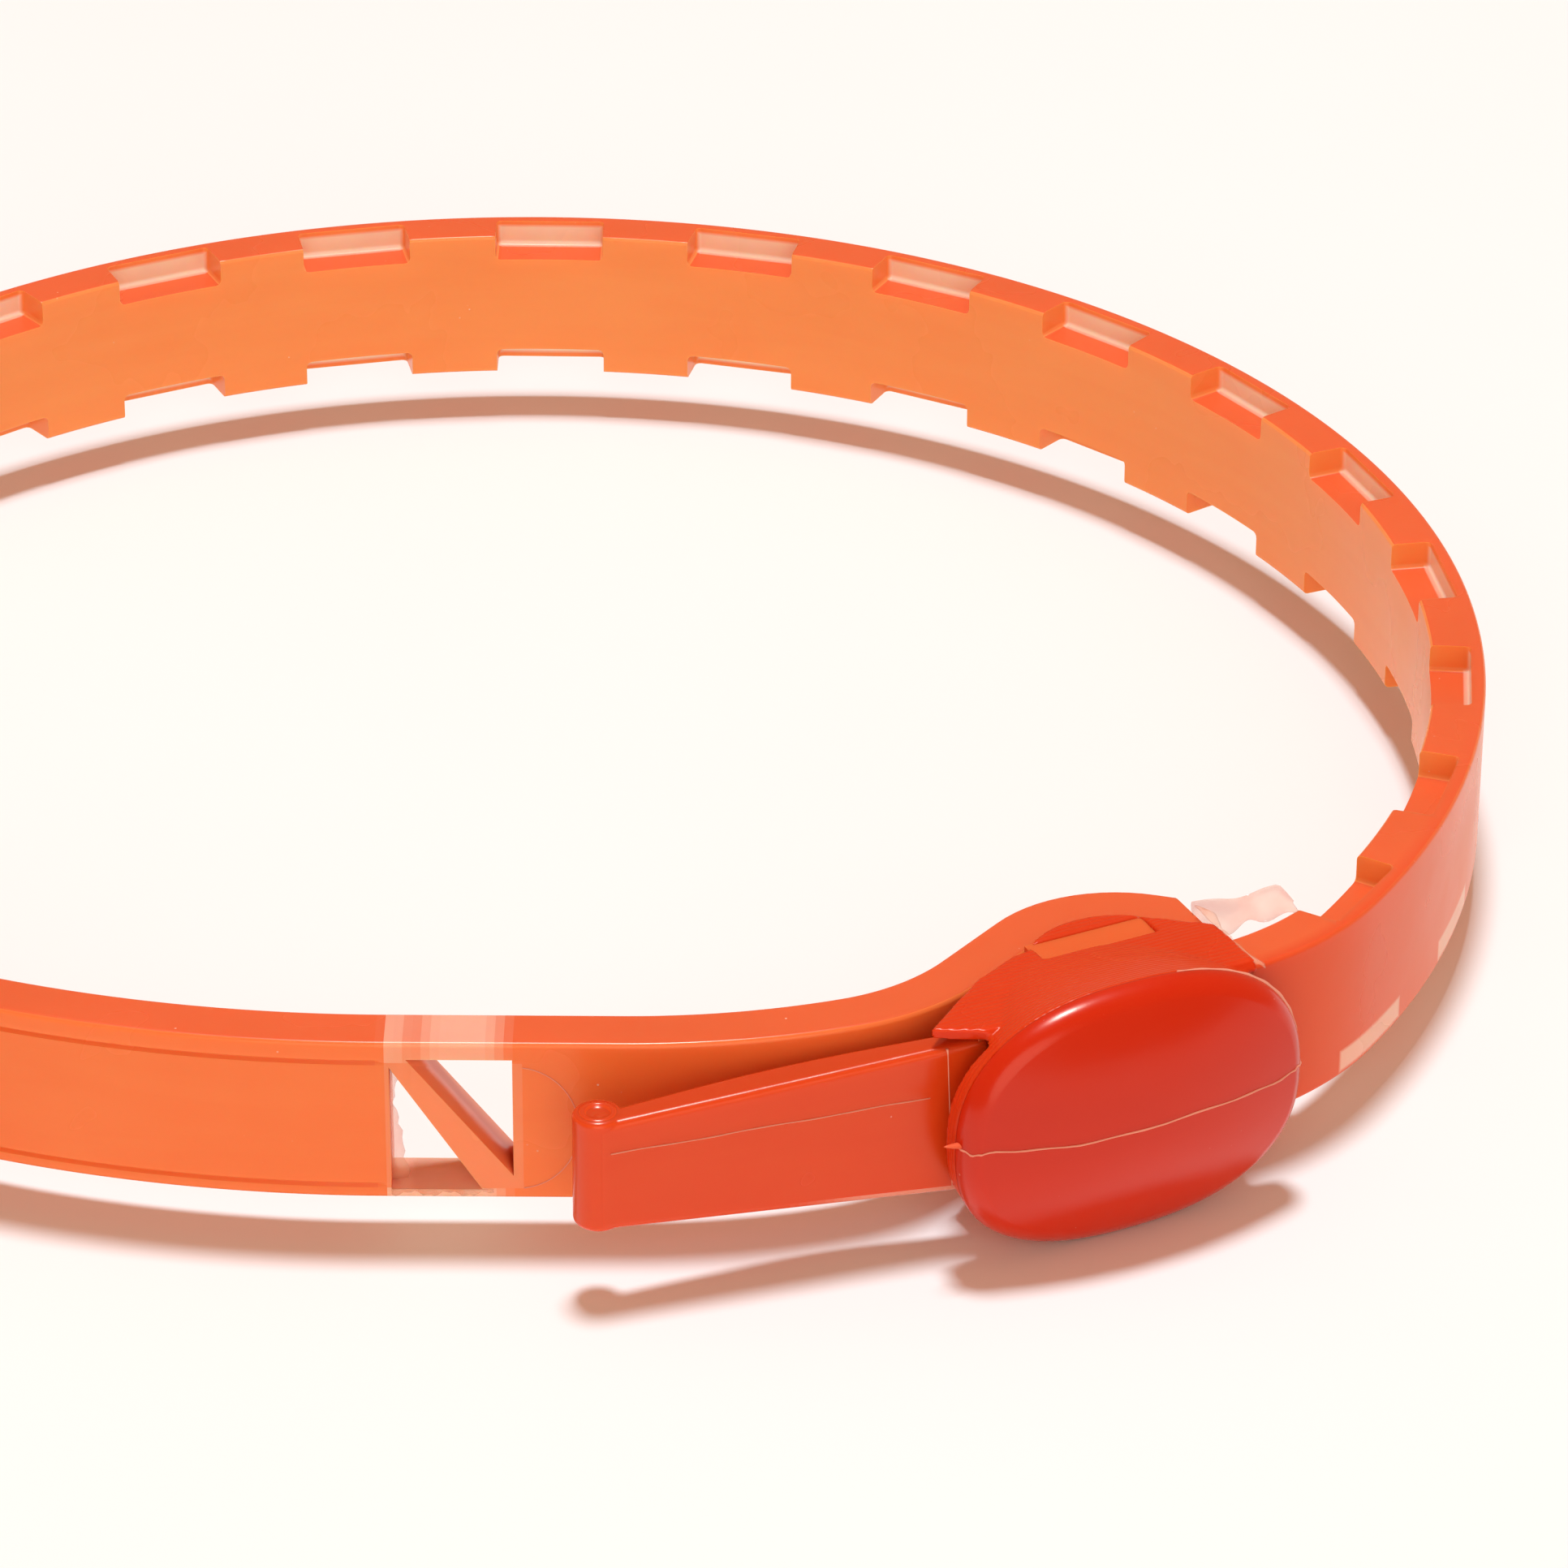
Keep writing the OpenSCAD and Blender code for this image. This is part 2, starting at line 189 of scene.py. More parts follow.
def mottled(tree, where, cloudy, face, edge):
    """Clouded and streaked face colour, and a painted deeper one on faces that look up or down, where light has
    passed through the whole height.
    """
    streaks = noise(tree, where, 60.0, 4.0, 0.7, (1.0, 1.0, 7.0))
    stops = [(0.1, scaled(face, LOW_SHADE)), (0.9, scaled(face, HIGH_SHADE))]
    colour = mix(tree, 0.5, ramp(tree, cloudy, stops), ramp(tree, streaks, stops))
    edge_high = tuple(v * 1.15 for v in edge)
    return mix(tree, value_of(tree, "edge"), colour, ramp(tree, cloudy, [(0.1, edge), (0.9, edge_high)]))


def outer_side(tree, colour, face):
    """Deeper colour on the strap's outer face, with painted shade that makes it deepest next to the head."""
    inner_side = ramp(tree, value_of(tree, "depth"), [(0.3, BLACK), (1.0, WHITE)])
    past_start = calc(tree, "SUBTRACT", value_of(tree, "pitches"), HEAD_SHADE_START)
    # close: painted shade on the outer face as the strap runs up to the head
    close = ramp(tree, calc(tree, "MULTIPLY", past_start, HEAD_SHADE_RATE), [(0.1, BLACK), (0.9, WHITE)])
    outside = mix(tree, 0.5, colour, scaled(face, OUTER_SHADE))
    return mix(tree, inner_side, mix(tree, close, outside, HEAD_SHADE_COLOUR), colour)


def with_specks(tree, where, colour):
    """Fine pale dust in a few patches."""
    specks = add(tree, "ShaderNodeTexVoronoi", in_Scale=1500.0)
    tree.links.new(where, specks.inputs["Vector"])
    dots = ramp(tree, specks.outputs["Distance"], [(0.05, WHITE), (0.12, BLACK)])
    few = ramp(tree, noise(tree, where, 420.0, 2.0), [(0.66, BLACK), (0.7, WHITE)])
    return mix(tree, mix(tree, 1.0, dots, few, "MULTIPLY"), colour, SPECK)


def surface_normal(tree, where, ridges):
    """Slight waviness under a fine grain, laid over the sleeve's moulded ridges where it has them."""
    lines = None
    if ridges:
        wander = calc(tree, "MULTIPLY", noise(tree, where, 220.0), 7.0)
        steady = calc(tree, "MULTIPLY", value_of(tree, "across"), 18.0)
        lines = bump(tree, calc(tree, "SINE", calc(tree, "ADD", steady, wander)), 0.25, 0.04)
    broad = bump(tree, noise(tree, where, 160.0, 2.0), 0.22, 0.3, lines)
    return bump(tree, noise(tree, where, 900.0), 0.12, 0.06, broad)


def moulded(name, face, edge, rough, glow=0.5, radius_mm=1.1, marks=None, ridges=False, gloss=0.3):
    """Translucent moulded plastic with painted light: paler where light shines through thin walls, deeper along
    its edges where light has passed through the whole height, with dust specks.
    """
    mat, tree, bsdf = nodes_of(name)
    where = add(tree, "ShaderNodeTexCoord").outputs["Object"]
    cloudy = noise(tree, where, 95.0)
    colour = mottled(tree, where, cloudy, face, edge)
    if marks:
        colour = outer_side(tree, colour, face)
    # Mask of painted light shining through thin walls, from the notches or the "thin" attribute
    light_through_mask = marks(tree, where) if marks else value_of(tree, "thin")
    pale_low = tuple(v * 0.93 for v in PALE)
    pale = ramp(tree, noise(tree, where, 300.0, 4.0), [(0.3, pale_low), (0.7, PALE)])
    colour = with_specks(tree, where, mix(tree, light_through_mask, colour, pale))
    shine = ramp(tree, cloudy, [(0.3, (rough - 0.05,) * 3), (0.75, (rough + 0.08,) * 3)])
    tree.links.new(colour, bsdf.inputs["Base Color"])
    tree.links.new(surface_normal(tree, where, ridges), bsdf.inputs["Normal"])
    tree.links.new(shine, bsdf.inputs["Roughness"])
    bsdf.subsurface_method = "RANDOM_WALK"
    bsdf.inputs["Subsurface Weight"].default_value = glow
    bsdf.inputs["Subsurface Radius"].default_value = SCATTER
    bsdf.inputs["Subsurface Scale"].default_value = radius_mm * MM
    bsdf.inputs["Specular IOR Level"].default_value = gloss
    bsdf.inputs["Specular Tint"].default_value = (*SHINE_TINT, 1)
    return mat


def notch_light_through(tree, where):
    """Painted light shining through the thin walls behind the notches: 1 on all of the inner face, and softly on
    the lower outer one.
    """
    z = add(tree, "ShaderNodeSeparateXYZ")
    tree.links.new(where, z.inputs[0])
    height = calc(tree, "MULTIPLY", z.outputs["Z"], 1 / MM)
    from_middle = calc(tree, "ABSOLUTE", calc(tree, "SUBTRACT", height, MID_Z))
    off = calc(tree, "ABSOLUTE", calc(tree, "SUBTRACT", calc(tree, "FRACT", value_of(tree, "pitches")), 0.5))
    depth = value_of(tree, "depth")
    half_h = (BAND_HIGH - BAND_LOW) / 2
    within = [calc(tree, "SUBTRACT", NOTCH_L / 2 - 0.15, calc(tree, "MULTIPLY", off, PITCH)),
              calc(tree, "SUBTRACT", from_middle, half_h - NOTCH_H),
              calc(tree, "SUBTRACT", half_h - 0.3, from_middle),
              calc(tree, "SUBTRACT", STRAP_T - NOTCH_D + 0.25, depth)]
    least = within[0]
    for distance in within[1:]:
        least = calc(tree, "MINIMUM", least, distance)
    soft = calc(tree, "ADD", calc(tree, "MULTIPLY", least, 4.0), 0.3)
    mask = calc(tree, "MINIMUM", 1.0, calc(tree, "MAXIMUM", 0.0, soft))
    inner = ramp(tree, depth, [(0.25, BLACK), (0.5, WHITE)])
    lower = calc(tree, "MULTIPLY", calc(tree, "LESS_THAN", height, MID_Z), 0.6)
    return calc(tree, "MULTIPLY", mask, calc(tree, "MAXIMUM", inner, lower))


def film(name):
    """Thin clear flash: see-through, with a warm tint and soft wrinkles."""
    mat, tree, bsdf = nodes_of(name)
    where = add(tree, "ShaderNodeTexCoord").outputs["Object"]
    wrinkle = noise(tree, where, 700.0)
    tint = ramp(tree, wrinkle, [(0.35, (0.96, 0.36, 0.17)), (0.7, (1.0, 0.70, 0.52))])
    tree.links.new(tint, bsdf.inputs["Base Color"])
    tree.links.new(bump(tree, wrinkle, 0.5, 0.2), bsdf.inputs["Normal"])
    bsdf.inputs["Roughness"].default_value = 0.12
    bsdf.inputs["Alpha"].default_value = 0.3
    return mat


def steel(name):
    """Brushed steel of the small springs and pins."""
    mat, tree, bsdf = nodes_of(name)
    where = add(tree, "ShaderNodeTexCoord").outputs["Object"]
    tint = ramp(tree, noise(tree, where, 2500.0, 2.0), [(0.3, (0.55, 0.56, 0.58)), (0.7, (0.78, 0.79, 0.81))])
    tree.links.new(tint, bsdf.inputs["Base Color"])
    bsdf.inputs["Metallic"].default_value = 1.0
    bsdf.inputs["Roughness"].default_value = 0.32
    return mat


# EDGE: painted deeper colour of faces that look up or down, where light has passed through the whole height
EDGE = (0.74, 0.118, 0.036)
STRAP = moulded("strap_plastic", (0.98, 0.325, 0.095), EDGE, 0.28, marks=notch_light_through)
FRONT = moulded("band_plastic", (0.95, 0.215, 0.052), EDGE, 0.24, gloss=0.5)
SHELL = moulded("head_plastic", (0.72, 0.044, 0.006), (0.66, 0.040, 0.005), 0.28, ridges=True)
WEB = moulded("web_plastic", (0.86, 0.13, 0.03), (0.86, 0.13, 0.03), 0.3)
COVER = moulded("cover_plastic", (0.63, 0.019, 0.001), (0.61, 0.019, 0.001), 0.21, radius_mm=1.0, gloss=0.55)
TONGUE = moulded("tongue_plastic", (0.76, 0.066, 0.008), (0.60, 0.050, 0.008), 0.22, gloss=0.55)
INNER = moulded("inner_plastic", (0.90, 0.16, 0.04), (0.90, 0.16, 0.04), 0.4, radius_mm=1.2)
LINE = moulded("line_plastic", (0.84, 0.13, 0.05), (0.84, 0.13, 0.05), 0.3, glow=0.0)
FILM = film("film_plastic")
STEEL = steel("steel")


# ---------------------------------------------------------------- mesh helpers
def mesh_object(name, verts, faces, material, smooth=True):
    """Closed mesh from points in millimetres."""
    mesh = bpy.data.meshes.new(name)
    mesh.from_pydata([tuple(Vector(v) * MM) for v in verts], [], faces)
    mesh.validate()
    ob = bpy.data.objects.new(name, mesh)
    bpy.context.scene.collection.objects.link(ob)
    bm = bmesh.new()
    bm.from_mesh(mesh)
    bmesh.ops.remove_doubles(bm, verts=bm.verts, dist=1e-7)
    bmesh.ops.recalc_face_normals(bm, faces=bm.faces)
    bm.to_mesh(mesh)
    bm.free()
    mesh.materials.append(material)
    for p in mesh.polygons:
        p.use_smooth = smooth
    return ob


def loft(name, rings, material, smooth=True):
    """Closed skin over rings of points, capped at both ends."""
    n = len(rings[0])
    verts = [p for ring in rings for p in ring]
    faces = []
    for i in range(len(rings) - 1):
        for k in range(n):
            a, b = i * n + k, i * n + (k + 1) % n
            faces.append((a, b, b + n, a + n))
    faces.append(tuple(range(n)))
    faces.append(tuple(range(len(verts) - 1, len(verts) - n - 1, -1)))
    return mesh_object(name, verts, faces, material, smooth)


def apply_all(ob):
    """Replaces the mesh by what its modifiers make of it."""
    bpy.context.view_layer.update()
    deps = bpy.context.evaluated_depsgraph_get()
    fresh = bpy.data.meshes.new_from_object(ob.evaluated_get(deps))
    old = ob.data
    ob.modifiers.clear()
    ob.data = fresh
    fresh.name = ob.name
    if old.users == 0:
        bpy.data.meshes.remove(old)


def boolean(ob, cutters, how="DIFFERENCE"):
    for cutter in cutters:
        mod = ob.modifiers.new("cut", "BOOLEAN")
        mod.operation = how
        mod.solver = "EXACT"
        mod.object = cutter
    apply_all(ob)
    for cutter in cutters:
        bpy.data.objects.remove(cutter)


def soften(ob, width, segments=2, angle=35):
    """Rounds every sharp edge and keeps flat faces flat."""
    mod = ob.modifiers.new("bevel", "BEVEL")
    mod.width = width * MM
    mod.segments = segments
    mod.limit_method = "ANGLE"
    mod.angle_limit = math.radians(angle)
    mod.harden_normals = False
    mod.use_clamp_overlap = True
    weighted = ob.modifiers.new("normals", "WEIGHTED_NORMAL")
    weighted.keep_sharp = False
    apply_all(ob)
    for p in ob.data.polygons:
        p.use_smooth = True


def remesh(ob, voxel, passes):
    """Turns booleaned blocks into one soft-edged moulding."""
    mod = ob.modifiers.new("remesh", "REMESH")
    mod.mode = "VOXEL"
    mod.voxel_size = voxel * MM
    mod.use_smooth_shade = True
    smooth = ob.modifiers.new("smooth", "SMOOTH")
    smooth.factor = 0.5
    smooth.iterations = passes
    apply_all(ob)
    for p in ob.data.polygons:
        p.use_smooth = True


def block(name, corner_low, corner_high, place):
    """Cutting block in a local frame; place turns local points into points of the lock."""
    (x0, y0, z0), (x1, y1, z1) = corner_low, corner_high
    low = [(x0, y0, z0), (x1, y0, z0), (x1, y1, z0), (x0, y1, z0)]
    high = [(x, y, z1) for x, y, _ in low]
    return loft(name, [[place(*p) for p in low], [place(*p) for p in high]], INNER, False)


# ---------------------------------------------------------------- route of the strap
class Route:
    """Outer face of the strap as arcs and lines, followed from its start."""

    def __init__(self, start, heading):
        self.at, self.heading, self.runs, self.length = start.copy(), heading, [], 0.0

    def line(self, length):
        self.runs.append(("line", self.length, self.at.copy(), self.heading, length, 0.0))
        self.at = self.at + polar(length, self.heading)
        self.length += length
        return self

    def arc(self, radius, angle):
        """Turns by angle, left when positive; the length is taken on the outer face."""
        self.runs.append(("arc", self.length, self.at.copy(), self.heading, radius * math.radians(abs(angle)),
                          radius if angle > 0 else -radius))
        side = 90 if angle > 0 else -90
        centre = self.at + polar(radius, self.heading + side)
        self.at = centre + polar(radius, self.heading - side + angle)
        self.heading += angle
        self.length += radius * math.radians(abs(angle))
        return self

    def frame_at(self, s):
        """Point of the outer face and heading at distance s."""
        run = [r for r in self.runs if r[1] <= s + 1e-9] or self.runs[:1]
        kind, s0, at, heading, _, radius = run[-1]
        d = s - s0
        if kind == "line":
            return at + polar(d, heading), heading
        turn = math.degrees(d / radius)
        centre = at + polar(abs(radius), heading + math.copysign(90, radius))
        return centre + polar(abs(radius), heading - math.copysign(90, radius) + turn), heading + turn


def across(route, s, depth, z, inward):
    """Point at a depth below the outer face; inward is 1 when the loop lies on the left."""
    at, heading = route.frame_at(s)
    return at + polar(depth * inward, heading + 90) + Vector((0, 0, z))


def rounded_section(t, z0, z1, r, steps=3):
    """Section of the strap as (depth, z) points with rounded corners."""
    points = []
    for cx, cz, a0 in ((t - r, z1 - r, 0), (r, z1 - r, 90), (r, z0 + r, 180), (t - r, z0 + r, 270)):
        for i in range(steps + 1):
            a = math.radians(a0 + 90 * i / steps)
            points.append((cx + r * math.cos(a), cz + r * math.sin(a)))
    return points


def sweep(name, route, s0, s1, step, section, material, inward=1):
    """Skin of a section that runs along a route from s0 to s1."""
    count = max(2, int(math.ceil((s1 - s0) / step)))
    rings = []
    for i in range(count + 1):
        s = s0 + (s1 - s0) * i / count
        rings.append([across(route, s, d, z, inward) for d, z in section(s)])
    return loft(name, rings, material)


def solve_bend():
    """Start and end angles of the tight bend between the loop and the head, and its centre."""
    k, m = OUT_R - BEND_R, LOOP_R - BEND_R
    a0 = FLEX_A - 180 + math.degrees(math.acos((k * k - LOOP_R ** 2 - m * m) / (2 * LOOP_R * m)))
    centre = LOOP_C + polar(m, a0)
    a1 = math.degrees(math.atan2(centre.y - FLEX.y, centre.x - FLEX.x))
    return a0, a1


BEND_A0, BEND_A1 = solve_bend()
LEFT = LOOP_C + Vector((-LOOP_R, 0, 0))


def smooth_step(x, a, b):
    """0 at a, 1 at b; b may be the smaller."""
    t = min(1.0, max(0.0, (x - a) / (b - a)))
    return t * t * (3 - 2 * t)


def mark(ob, name, values, domain="POINT"):
    """Stores one number per point or face for the material to read."""
    layer = ob.data.attributes.new(name, "FLOAT", domain)
    layer.data.foreach_set("value", np.asarray(values, dtype=np.float32))


def mark_edges(ob):
    """1 on faces that look up or down, where light has passed through the whole height."""
    mark(ob, "edge", [smooth_step(abs(p.normal.z), 0.6, 0.95) for p in ob.data.polygons], "FACE")


def along_route(route, x, y):
    """Start of the nearest run, distance along its neutral line and depth below the outer face.

    The inner side of the route lies on its right.
    """
    best = None
    for kind, s0, at, heading, length, radius in route.runs:
        if kind == "line":
            rel = Vector((x - at.x, y - at.y, 0))
            d, depth = rel.dot(polar(1, heading)), rel.dot(polar(1, heading - 90))
        else:
            side = math.copysign(90, radius)
            centre = at + polar(abs(radius), heading + side)
            rel = Vector((x - centre.x, y - centre.y, 0))
            turn = math.degrees(math.atan2(rel.y, rel.x)) - (heading - side)
            middle = math.degrees(length / abs(radius)) / 2
            turn = (turn * math.copysign(1, radius) - middle + 180) % 360 - 180 + middle
            d = math.radians(turn) * abs(radius)
            depth = (abs(radius) - rel.length) * (-1 if radius > 0 else 1)
        miss = max(0.0, -d, d - length)
        if best is None or miss < best[0] - 1e-6:
            share = (abs(radius) - STRAP_T / 2) / abs(radius) if kind == "arc" else 1.0
            best = (miss, s0, d * share, depth)
    return best[1:]


# ---------------------------------------------------------------- notched half
def rack_route():
    """From the left end of the loop round the far side, through the tight bend and into the head."""
    return (Route(LEFT, 90).arc(LOOP_R, BEND_A0 - 180).arc(BEND_R, BEND_A1 - BEND_A0)
            .arc(OUT_R, -9.2))


def notch_cutters(route, ks):
    """Blocks for the notch pairs; they are spaced along the strap's neutral line."""
    runs = route.runs
    flex_s = LOOP_R * math.radians(180 - FLEX_A)
    flex_n = flex_s * (LOOP_R - STRAP_T / 2) / LOOP_R
    cutters = []
    for k in ks:
        left = flex_n + k * PITCH
        s = 0.0
        for _, s0, _, _, length, radius in runs:
            share = (abs(radius) - STRAP_T / 2) / abs(radius)
            if left <= length * share or s0 == runs[-1][1]:
                s = s0 + left / share
                break
            left -= length * share
        at, heading = route.frame_at(s)
        along, inward = polar(1, heading), polar(1, heading - 90)

        def place(x, d, z, at=at, along=along, inward=inward):
            return at + along * x + inward * d + Vector((0, 0, z))

        for z0, z1 in ((BAND_LOW - 1, BAND_LOW + NOTCH_H), (BAND_HIGH - NOTCH_H, BAND_HIGH + 1)):
            cutter = block("notch", (-NOTCH_L / 2, STRAP_T - NOTCH_D, z0),
                           (NOTCH_L / 2, STRAP_T + 1, z1), place)
            soften(cutter, 0.35, 3)
            cutters.append(cutter)
    return cutters


def mark_strap(ob, route):
    """Tells the material how far along the notches and how deep in the strap each point is."""
    neutral = {}
    total = 0.0
    for _, s0, _, _, length, radius in route.runs:
        neutral[s0] = total
        total += length * (abs(radius) - STRAP_T / 2) / abs(radius)
    start = LOOP_R * math.radians(180 - FLEX_A) * (LOOP_R - STRAP_T / 2) / LOOP_R
    pitches, depths = [], []
    for v in ob.data.vertices:
        s0, d, depth = along_route(route, v.co.x / MM, v.co.y / MM)
        pitches.append((neutral[s0] + d - start) / PITCH + PITCH_ZERO)
        depths.append(depth)
    mark(ob, "pitches", pitches)
    mark(ob, "depth", depths)
    mark_edges(ob)


def join_all(objects):
    bpy.ops.object.select_all(action="DESELECT")
    for ob in objects:
        ob.select_set(True)
    bpy.context.view_layer.objects.active = objects[0]
    bpy.ops.object.join()
    return bpy.context.view_layer.objects.active


def plain_section(_):
    return rounded_section(STRAP_T, BAND_LOW, BAND_HIGH, 0.28)


def make_rack():
    """Outside stretch of the notched strap, from the left end of the loop to the mouth of the head."""
    route = rack_route()
    mouth = route.runs[2][1] + 0.4
    strap = sweep("notched_strap", route, 0.0, mouth, 0.6, plain_section, STRAP, -1)
    boolean(strap, [join_all(notch_cutters(route, range(-5, 11)))])
    soften(strap, 0.12)
    inside = sweep("strap_in_head", route, mouth, route.length, 0.6,
                   lambda _: rounded_section(STRAP_T, BAND_LOW, BAND_HIGH, 0.15), STRAP, -1)
    boolean(inside, [join_all(notch_cutters(route, [11]))])
    soften(inside, 0.08)
    for ob in (strap, inside):
        mark_strap(ob, route)
    return strap, inside


# ---------------------------------------------------------------- plain half
STRAIGHT_L, EASE_R, EASE_A, RISE_R, RISE_A, RISE_L = 13.0, 40.0, 18.0, 13.0, 35.0, 5.2
BULGE_R, BULGE_A = 7.0, 68.0


def front_route():
    """From the left end of the loop along the near side, up the S-bend and round the bulge."""
    half = STRAP_T / 2
    return (Route(LEFT, 270).arc(44.0, 70).arc(68.8, 20).line(STRAIGHT_L).arc(EASE_R + half, EASE_A)
            .arc(RISE_R + half, RISE_A).line(RISE_L).arc(BULGE_R - half, -BULGE_A).line(6.0))


def window_glow(x, z):
    """Painted light shining through the band round the window: palest in the bars above and below it, less over
    the rib.
    """
    if not -0.1 < x < 7.4:
        return 0.0
    if 0.7 < z < 8.8:
        return 0.12
    level = 0.45 * smooth_step(x, 7.4, 5.4) * smooth_step(x, -0.2, 0.6)
    return level * (1 - 0.6 * math.exp(-((x - 1.7) / 0.8) ** 2) if z > 5 else 1.25)


def make_front():
    """Plain band with its window, panel lines, and the bulge that closes the head."""
    route = front_route()
    window_s = route.runs[2][1]

    def section(s):
        points = rounded_section(STRAP_T, BAND_LOW, BAND_HIGH, 0.3)
        groove = 0.17 * (1 - smooth_step(s, window_s - 0.3, window_s + 0.1))
        lines = []
        for z in (BAND_LOW + 8.75, BAND_LOW + 0.85):
            lines += [(0, z + 0.16), (groove, z), (0, z - 0.16)]
        return points[:8] + lines + points[8:]

    band = sweep("front_band", route, 0.0, route.length, 0.5, section, FRONT)
    at, heading = route.frame_at(window_s)
    along, inward = polar(1, heading), polar(1, heading + 90)

    def place(x, d, z):
        return at + along * x + inward * d + Vector((0, 0, BAND_LOW + z))

    x0, x1, z0, z1 = 0.4, 7.1, 0.6, 8.95
    rib_half, rib_end = 0.75, 5.9
    lean = math.atan2(z1 - z0, rib_end)
    shift = rib_half / math.sin(lean)
    left_tri = [(x0, z1 - 0.5), (x0, z0), (x0 + rib_end - shift, z0)]
    right_tri = [(x0 + shift, z1), (x1, z1), (x1, z0 + 0.9)]
    cutters = []
    for shape in (left_tri, right_tri):
        cutters.append(loft("hole", [[place(x, -1, z) for x, z in shape],
                                     [place(x, 5, z) for x, z in shape]], INNER, False))
    cutters.append(block("end", (MOUTH_X, -14, -5), (MOUTH_X + 12, 1, 25), at_head))
    for cutter in cutters:
        boolean(band, [cutter])
    soften(band, 0.1)
    mark_edges(band)
    # Painted light: paler faces round the window, where light shines through the band
    pale = []
    for p in band.data.polygons:
        pale.append(window_glow((p.center / MM - at).dot(along), p.center.z / MM - BAND_LOW))
    mark(band, "thin", pale, "FACE")
    return band, place


def make_witness(place):
    """Half circle that the mould's insert left beside the window."""
    def arc_point(a, d):
        return place(7.3 + 3.4 * math.cos(a), d, 4.6 + 3.9 * math.sin(a))

    path = []
    for i in range(31):
        a = math.radians(-84 + 168 * i / 30)
        at = arc_point(a, 0.0)
        ahead = arc_point(a + 0.01, 0.0) - at
        out = arc_point(a, -1.0) - at
        path.append((at, out, ahead.normalized().cross(out), 0.03))
    return ribbon("witness_arc", path, 0.3)


# ---------------------------------------------------------------- head
NECK_N, NECK_H = -5.4, 5.3
PLATE_LEFT = -12.4
CHANNEL_OUT = 2.75


def oval_ring(n, half_l, half_h, cz, count=96):
    """Superellipse round the cover's axis, at n outward."""
    ring = []
    for i in range(count):
        a = 2 * math.pi * i / count
        c, s = math.cos(a), math.sin(a)
        ring.append(at_head(COVER_X + half_l * math.copysign(abs(c) ** COVER_E, c), n,
                            cz + half_h * math.copysign(abs(s) ** COVER_E, s)))
    return ring


def head_plan():
    """Outline of the sleeve seen from above, with the arc of the bulge as its inner edge."""
    inner = [(-9.8, -1.7), (-7.4, -3.6), (-4.6, -4.95)]
    arc = [(0.5 + 5.32 * math.cos(math.radians(a)), -1.75 + 5.32 * math.sin(math.radians(a)))
           for a in range(-140, -47, 8)]
    outer = [(MOUTH_X, -2.9), (MOUTH_X, 2.0), (9.4, 2.4), (9.4, 4.5), (-13.2, 4.5), (-13.2, 0.9),
             (PLATE_LEFT, 0.3)]
    return outer + inner + arc


def make_plates():
    """Flat top and bottom of the sleeve as one block, cut obliquely where it runs under the cover."""
    rows = ((-7.6, 5.4, PLATE_LEFT), (NECK_N, 5.45, PLATE_LEFT), (-2.0, 5.75, PLATE_LEFT),
            (0.3, 5.8, PLATE_LEFT), (1.6, 5.85, -10.0), (2.0, 5.4, -9.4))
    rings = []
    for n, h, left in rows:
        low, high = MID_Z - h, MID_Z + h
        rings.append([at_head(max(left, -9.6), n, low), at_head(9, n, low), at_head(9, n, high),
                      at_head(left, n, high)])
    return loft("plates", rings, INNER, False)


def make_head():
    """Sleeve whose top and bottom slope out from the band's edges to the oval behind the cover."""
    rings = []
    for i in range(25):
        t = i / 24
        half_h = NECK_H + (COVER_H / 2 - NECK_H) * (0.75 * t + 0.25 * t * t)
        rings.append(oval_ring(NECK_N + (SHELL_N - NECK_N) * t, COVER_L / 2 - 0.5 * (1 - t), half_h,
                               MID_Z + (COVER_Z - MID_Z) * t))
    head = loft("head_sleeve", rings, SHELL)
    boolean(head, [make_plates()], "UNION")
    plan = head_plan()
    prism = loft("plan", [[at_head(u, n, -4) for u, n in plan], [at_head(u, n, 24) for u, n in plan]],
                 INNER, False)
    boolean(head, [prism], "INTERSECT")
    radius, start = HEAD_R + CHANNEL_OUT, HEAD_A - 13
    run = Route(FLEX.to_2d().to_3d() + polar(radius, start), start + 90).arc(radius, 26)
    depth = radius - OUT_R + STRAP_T + 0.2
    low, high = BAND_LOW - 0.2, BAND_HIGH + 0.2
    channel = sweep("channel", run, 0.0, run.length, 1.0,
                    lambda _: [(depth, high), (0, high), (0, low), (depth, low)], INNER)
    chamber = block("chamber", (-13.5, -9, BAND_LOW + 0.1), (8, -0.5, BAND_HIGH - 0.15), at_head)
    window = block("window", (-3.2, -5.75, -5), (3.9, -3.75, 25), at_head)
    for cutter in (channel, chamber, window):
        boolean(head, [cutter])
    remesh(head, 0.13, 4)
    mark_edges(head)
    mark(head, "across", [(v.co / MM - HEAD).dot(NORMAL) for v in head.data.vertices])
    web = block("slot_web", (-3.35, -5.9, BAND_HIGH - 0.05), (4.0, -3.6, BAND_HIGH + 0.3), at_head)
    web.data.materials[0] = WEB
    return head, web


RIM_R, RIM_TURN, RIM_STEPS = 1.6, 62, 12
CROWN, CROWN_STEPS = 3.1, 15
COVER_N = SHELL_N + 0.03


def dome_profile(inset=0.0, lower=0.0):
    """Height and shape of the cover's rings: a tight rim, then a shallow crown."""
    steps = [(RIM_R * math.sin(a), RIM_R * (1 - math.cos(a)), 1.0)
             for a in (math.radians(RIM_TURN * i / RIM_STEPS) for i in range(RIM_STEPS + 1))]
    top, edge = steps[-1][0], steps[-1][1]
    for i in range(1, CROWN_STEPS + 1):
        k = math.cos(math.radians(86 * i / CROWN_STEPS))
        steps.append((top + (CROWN - top) * (1 - k * k), edge, k))
    return [(max(0.0, n - lower), e + inset, k) for n, e, k in steps]


